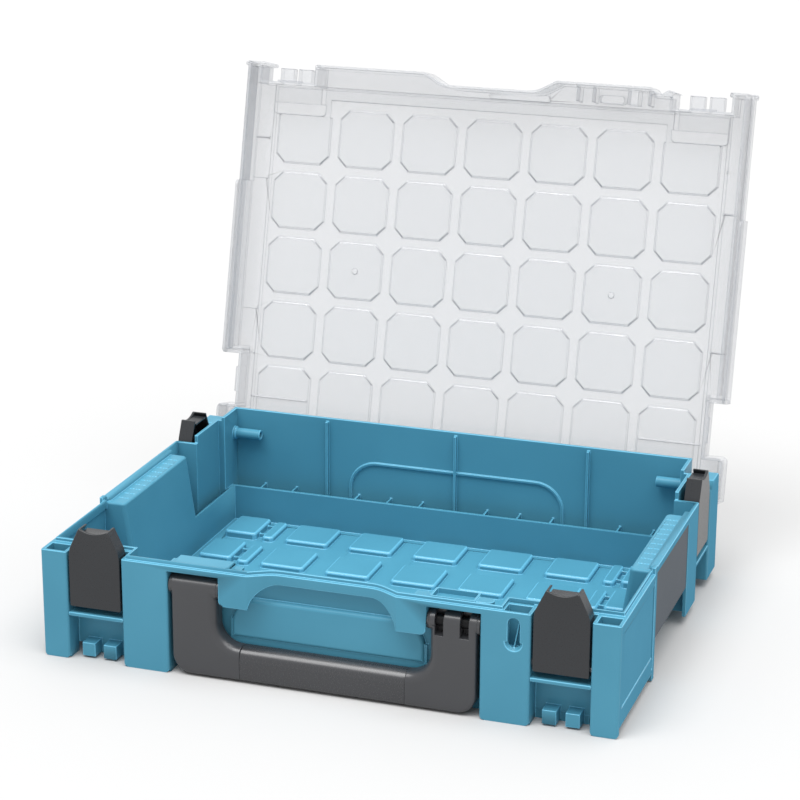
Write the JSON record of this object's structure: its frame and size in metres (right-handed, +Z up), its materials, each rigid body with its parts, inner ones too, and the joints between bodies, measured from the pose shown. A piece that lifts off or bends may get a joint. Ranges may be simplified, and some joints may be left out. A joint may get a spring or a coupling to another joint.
{
  "type": "compartment storage box",
  "caption": "Shallow stackable storage case with a hinged clear lid, edge latches, a folding front handle and side hand grips.",
  "frame": {"origin": "middle of the underside of the tray, on the resting face", "axes": "+X to the right across the width, +Y from the front to the hinged back, +Z up from the resting face"},
  "size_m": [0.396, 0.3877, 0.3423],
  "materials": {
    "tray_plastic": "satin moulded polypropylene",
    "clear_plastic": "clear moulded polycarbonate",
    "latch_plastic": "satin moulded plastic",
    "handle_plastic": "fine grained moulded plastic",
    "plate_plastic": "satin moulded plastic",
    "pin_steel": "plain drawn steel"
  },
  "bodies": {
    "case": {"base_tray": "tray_plastic", "grip_plate_left": "plate_plastic", "grip_plate_right": "plate_plastic", "lid_hinge_pin_left": "pin_steel", "lid_hinge_pin_right": "pin_steel", "handle_pin_left": "handle_plastic", "handle_pin_right": "handle_plastic"},
    "lid": {"lid_cover": "clear_plastic"},
    "handle": {"handle_arm_left": "handle_plastic", "handle_arm_right": "handle_plastic", "handle_grip": "handle_plastic"},
    "pivot_front_left": {"latch_pin_front_left": "pin_steel"},
    "pivot_front_right": {"latch_pin_front_right": "pin_steel"},
    "pivot_rear_left": {"latch_pin_rear_left": "pin_steel"},
    "pivot_rear_right": {"latch_pin_rear_right": "pin_steel"},
    "clasp_front_left": {"latch_front_left": "latch_plastic"},
    "clasp_front_right": {"latch_front_right": "latch_plastic"},
    "clasp_rear_left": {"latch_rear_left": "latch_plastic"},
    "clasp_rear_right": {"latch_rear_right": "latch_plastic"}
  },
  "joints": [
    {"name": "lid_hinge", "type": "hinge", "parent": "case", "child": "lid", "pos_m": [0, 0.135, 0.07], "axis": [1, 0, 0], "range_deg": [0, 104.5]},
    {"name": "handle_hinge", "type": "hinge", "parent": "case", "child": "handle", "pos_m": [0, -0.1408, 0.062], "axis": [-1, 0, 0], "range_deg": [0, 90]},
    {"name": "lift_front_left", "type": "slide", "parent": "case", "child": "pivot_front_left", "axis": [0, 0, 1], "range_m": [0, 0.016]},
    {"name": "lift_front_right", "type": "slide", "parent": "case", "child": "pivot_front_right", "axis": [0, 0, 1], "range_m": [0, 0.016]},
    {"name": "lift_rear_left", "type": "slide", "parent": "case", "child": "pivot_rear_left", "axis": [0, 0, 1], "range_m": [0, 0.016]},
    {"name": "lift_rear_right", "type": "slide", "parent": "case", "child": "pivot_rear_right", "axis": [0, 0, 1], "range_m": [0, 0.016]},
    {"name": "latch_front_left_hinge", "type": "hinge", "parent": "pivot_front_left", "child": "clasp_front_left", "pos_m": [-0.1596, -0.141, 0.042], "axis": [1, 0, 0], "range_deg": [-2.5, 90]},
    {"name": "latch_front_right_hinge", "type": "hinge", "parent": "pivot_front_right", "child": "clasp_front_right", "pos_m": [0.1596, -0.141, 0.042], "axis": [1, 0, 0], "range_deg": [-2.5, 90]},
    {"name": "latch_rear_left_hinge", "type": "hinge", "parent": "pivot_rear_left", "child": "clasp_rear_left", "pos_m": [-0.191, 0.09525, 0.042], "axis": [0, -1, 0], "range_deg": [-2.5, 90]},
    {"name": "latch_rear_right_hinge", "type": "hinge", "parent": "pivot_rear_right", "child": "clasp_rear_right", "pos_m": [0.191, 0.09525, 0.042], "axis": [0, 1, 0], "range_deg": [-2.5, 90]}
  ]
}
